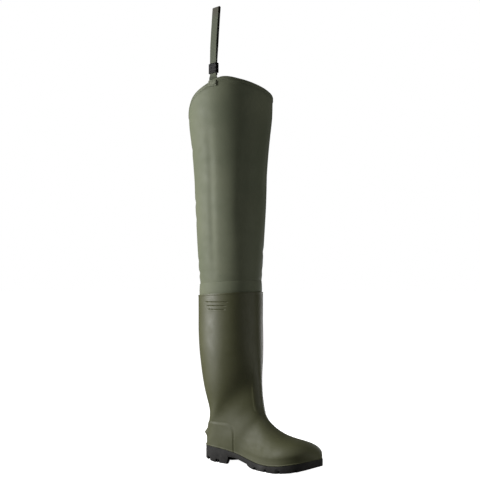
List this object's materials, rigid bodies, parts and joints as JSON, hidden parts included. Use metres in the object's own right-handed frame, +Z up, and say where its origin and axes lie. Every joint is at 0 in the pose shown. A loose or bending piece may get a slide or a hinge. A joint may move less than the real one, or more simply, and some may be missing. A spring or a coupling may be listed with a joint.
{
  "type": "hip wader",
  "caption": "Olive hip wader for the right leg: moulded PVC boot, cleated sole, coated fabric leg, slanted collar and webbing hanging loop with a black slide.",
  "frame": {"origin": "middle of the whole wader's box, at floor level", "axes": "+X towards the toe, +Y towards the inner side of the leg, +Z up"},
  "size_m": [0.3332, 0.1752, 0.986],
  "materials": {
    "tread_rubber": "matt black-grey moulded rubber",
    "olive_pvc": "satin olive moulded PVC",
    "sock_lining": "plain felt sock",
    "coated_fabric": "grey-green PVC coated fabric with a soft sheen",
    "webbing": "woven olive webbing",
    "black_plastic": "black moulded plastic"
  },
  "bodies": {
    "root": {"outsole": "tread_rubber", "boot": "olive_pvc", "insole": "sock_lining", "shaft_band": "coated_fabric", "thigh": "coated_fabric", "strap_tab": "coated_fabric", "strap": "webbing", "strap_buckle": "black_plastic"}
  },
  "joints": []
}
